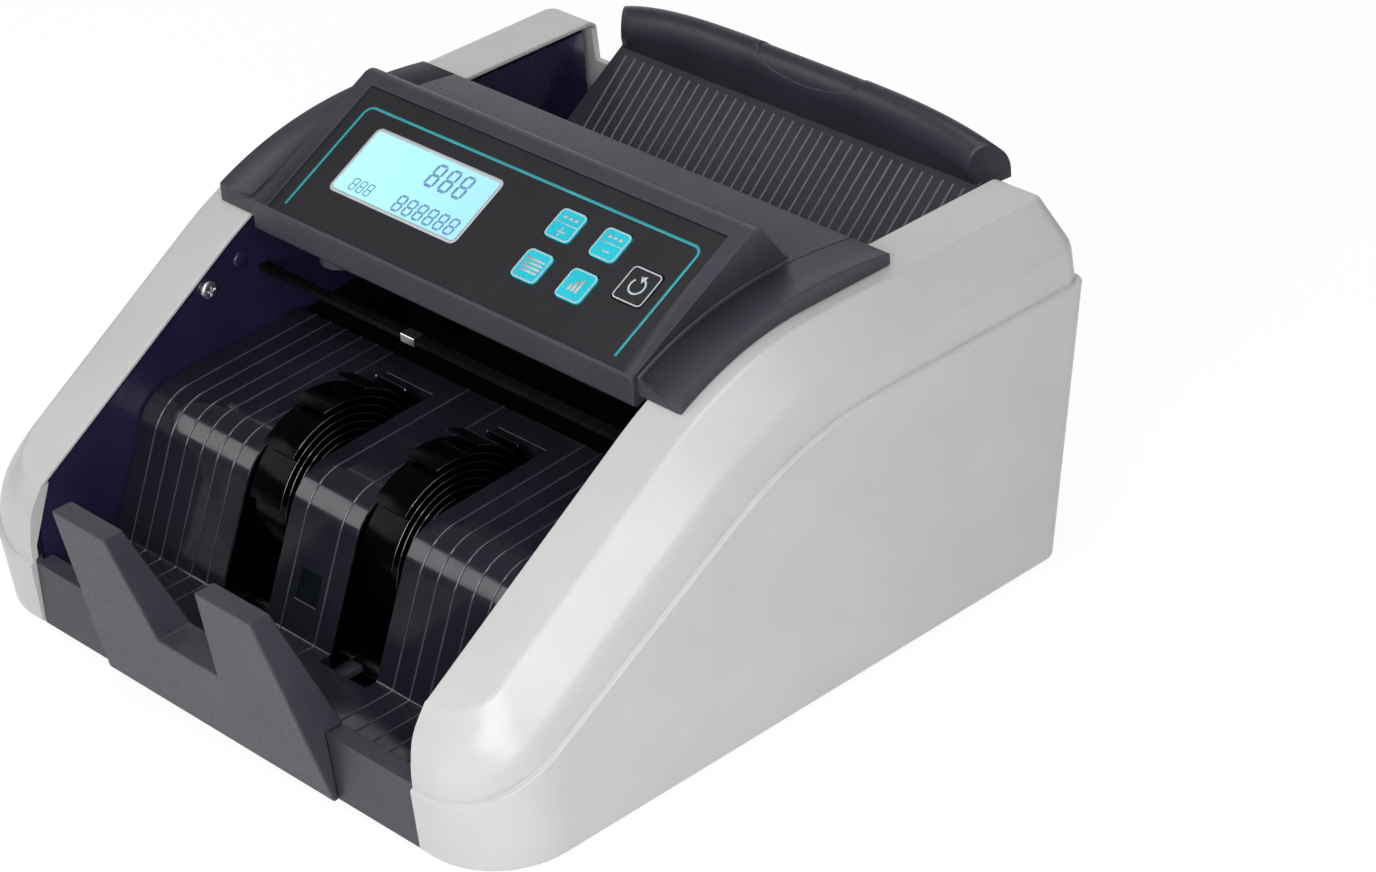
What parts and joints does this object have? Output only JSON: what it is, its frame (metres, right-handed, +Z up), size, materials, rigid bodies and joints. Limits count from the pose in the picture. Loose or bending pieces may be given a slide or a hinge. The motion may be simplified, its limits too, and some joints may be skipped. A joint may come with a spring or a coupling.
{
  "type": "banknote counter",
  "caption": "Desktop loose-note counter: tilted rear hopper, control bridge with display and keys, finned stacker wheels between guides and a notched catch plate in front.",
  "frame": {"origin": "on the table under the middle of the machine's box: halfway between the covers' sides, and halfway between the catch plate's tip and the back of the hopper roll", "axes": "+Z up, -Y towards the user in front, +X to the right seen from the front"},
  "size_m": [0.28, 0.3072, 0.1566],
  "materials": {
    "pearl_white_abs": "pearl white moulded ABS, satin gloss",
    "dark_grey_abs": "dark grey moulded ABS, fine spark texture",
    "smoke_blue_tray": "smoke-blue polished plastic",
    "sensor_window": "smoked infrared window",
    "navy_painted_steel": "navy enamel on sheet steel",
    "bright_steel": "zinc-plated and ground steel",
    "sintered_bronze": "sintered bronze bush",
    "gloss_black_plastic": "black moulded plastic, gloss",
    "black_rubber": "black rubber",
    "motor_casing": "black enamel on steel can",
    "charcoal_overlay": "printed polyester membrane",
    "cyan_key": "cyan printed key cap",
    "black_key": "black printed key cap",
    "lcd_display": "backlit pale cyan liquid crystal display",
    "circuit_board": "green solder mask",
    "transformer_iron": "laminated iron core with taped coil"
  },
  "bodies": {
    "casing": {"right_side_cover": "pearl_white_abs", "left_side_cover": "pearl_white_abs", "base_tub": "pearl_white_abs", "rear_cover": "pearl_white_abs", "base_plate": "bright_steel", "front_left_foot": "black_rubber", "front_right_foot": "black_rubber", "rear_left_foot": "black_rubber", "rear_right_foot": "black_rubber", "front_sill": "dark_grey_abs", "stacker_tray": "smoke_blue_tray", "stacker_sensor": "sensor_window", "left_side_plate": "navy_painted_steel", "right_side_plate": "navy_painted_steel", "front_tie_rod": "bright_steel", "note_guide_bar": "bright_steel", "left_plate_screw": "bright_steel", "right_plate_screw": "bright_steel", "bridge_frame": "dark_grey_abs", "panel_housing": "dark_grey_abs", "panel_overlay": "charcoal_overlay", "display_board": "circuit_board", "lcd_module": "lcd_display", "hopper_tray": "dark_grey_abs", "impeller_left_bearing": "sintered_bronze", "impeller_right_bearing": "sintered_bronze", "feed_left_bearing": "sintered_bronze", "feed_right_bearing": "sintered_bronze", "pickup_left_bearing": "sintered_bronze", "pickup_right_bearing": "sintered_bronze", "drive_motor": "motor_casing", "feed_belt": "black_rubber", "impeller_belt": "black_rubber", "pickup_belt": "black_rubber", "separator_pad": "black_rubber", "separator_bracket": "bright_steel", "main_board": "circuit_board", "transformer": "transformer_iron", "power_inlet": "gloss_black_plastic"},
    "impeller_train": {"impeller_shaft": "bright_steel", "left_impeller": "gloss_black_plastic", "right_impeller": "gloss_black_plastic", "impeller_pulley": "gloss_black_plastic"},
    "feed_train": {"feed_shaft": "bright_steel", "left_feed_roller": "black_rubber", "right_feed_roller": "black_rubber", "feed_pulley": "gloss_black_plastic"},
    "pickup_train": {"pickup_shaft": "bright_steel", "left_pickup_roller": "black_rubber", "right_pickup_roller": "black_rubber", "pickup_pulley": "gloss_black_plastic"},
    "motor_shaft": {"motor_pulley": "bright_steel"},
    "catch": {"catch_plate": "dark_grey_abs"},
    "plus": {"plus_key": "cyan_key"},
    "minus": {"minus_key": "cyan_key"},
    "batch": {"batch_key": "cyan_key"},
    "add": {"add_key": "cyan_key"},
    "restart": {"restart_key": "black_key"},
    "rocker": {"power_switch": "gloss_black_plastic"},
    "knob": {"gap_knob": "gloss_black_plastic"}
  },
  "joints": [
    {"name": "impeller_spin", "type": "hinge", "parent": "casing", "child": "impeller_train", "pos_m": [0, -0.0494, 0.052], "axis": [1, 0, 0], "continuous": true},
    {"name": "feed_spin", "type": "hinge", "parent": "casing", "child": "feed_train", "pos_m": [0, 0.0666, 0.066], "axis": [1, 0, 0], "continuous": true},
    {"name": "pickup_spin", "type": "hinge", "parent": "casing", "child": "pickup_train", "pos_m": [0, 0.11096, 0.08186], "axis": [1, 0, 0], "continuous": true},
    {"name": "motor_spin", "type": "hinge", "parent": "casing", "child": "motor_shaft", "pos_m": [0, 0.0166, 0.04], "axis": [1, 0, 0], "continuous": true},
    {"name": "catch_slide", "type": "slide", "parent": "casing", "child": "catch", "axis": [0, -1, 0], "range_m": [0, 0.02]},
    {"name": "plus_press", "type": "slide", "parent": "casing", "child": "plus", "axis": [0, 0.4664, -0.8846], "range_m": [0, 0.0006], "stiffness_N_per_m": 2500},
    {"name": "minus_press", "type": "slide", "parent": "casing", "child": "minus", "axis": [0, 0.4664, -0.8846], "range_m": [0, 0.0006], "stiffness_N_per_m": 2500},
    {"name": "batch_press", "type": "slide", "parent": "casing", "child": "batch", "axis": [0, 0.4664, -0.8846], "range_m": [0, 0.0006], "stiffness_N_per_m": 2500},
    {"name": "add_press", "type": "slide", "parent": "casing", "child": "add", "axis": [0, 0.4664, -0.8846], "range_m": [0, 0.0006], "stiffness_N_per_m": 2500},
    {"name": "restart_press", "type": "slide", "parent": "casing", "child": "restart", "axis": [0, 0.4664, -0.8846], "range_m": [0, 0.0006], "stiffness_N_per_m": 2500},
    {"name": "switch_rock", "type": "hinge", "parent": "casing", "child": "rocker", "pos_m": [-0.095, 0.13384, 0.04], "axis": [1, 0, 0], "range_deg": [0, 14]},
    {"name": "knob_turn", "type": "hinge", "parent": "casing", "child": "knob", "pos_m": [0, 0.1404, 0.085], "axis": [0, 0.9896, -0.1441], "range_deg": [-180, 180]}
  ],
  "couplings": [
    {"joint": "feed_spin", "follows": "impeller_spin", "ratio": 1.5},
    {"joint": "pickup_spin", "follows": "impeller_spin", "ratio": 1.5},
    {"joint": "motor_spin", "follows": "impeller_spin", "ratio": 3}
  ]
}
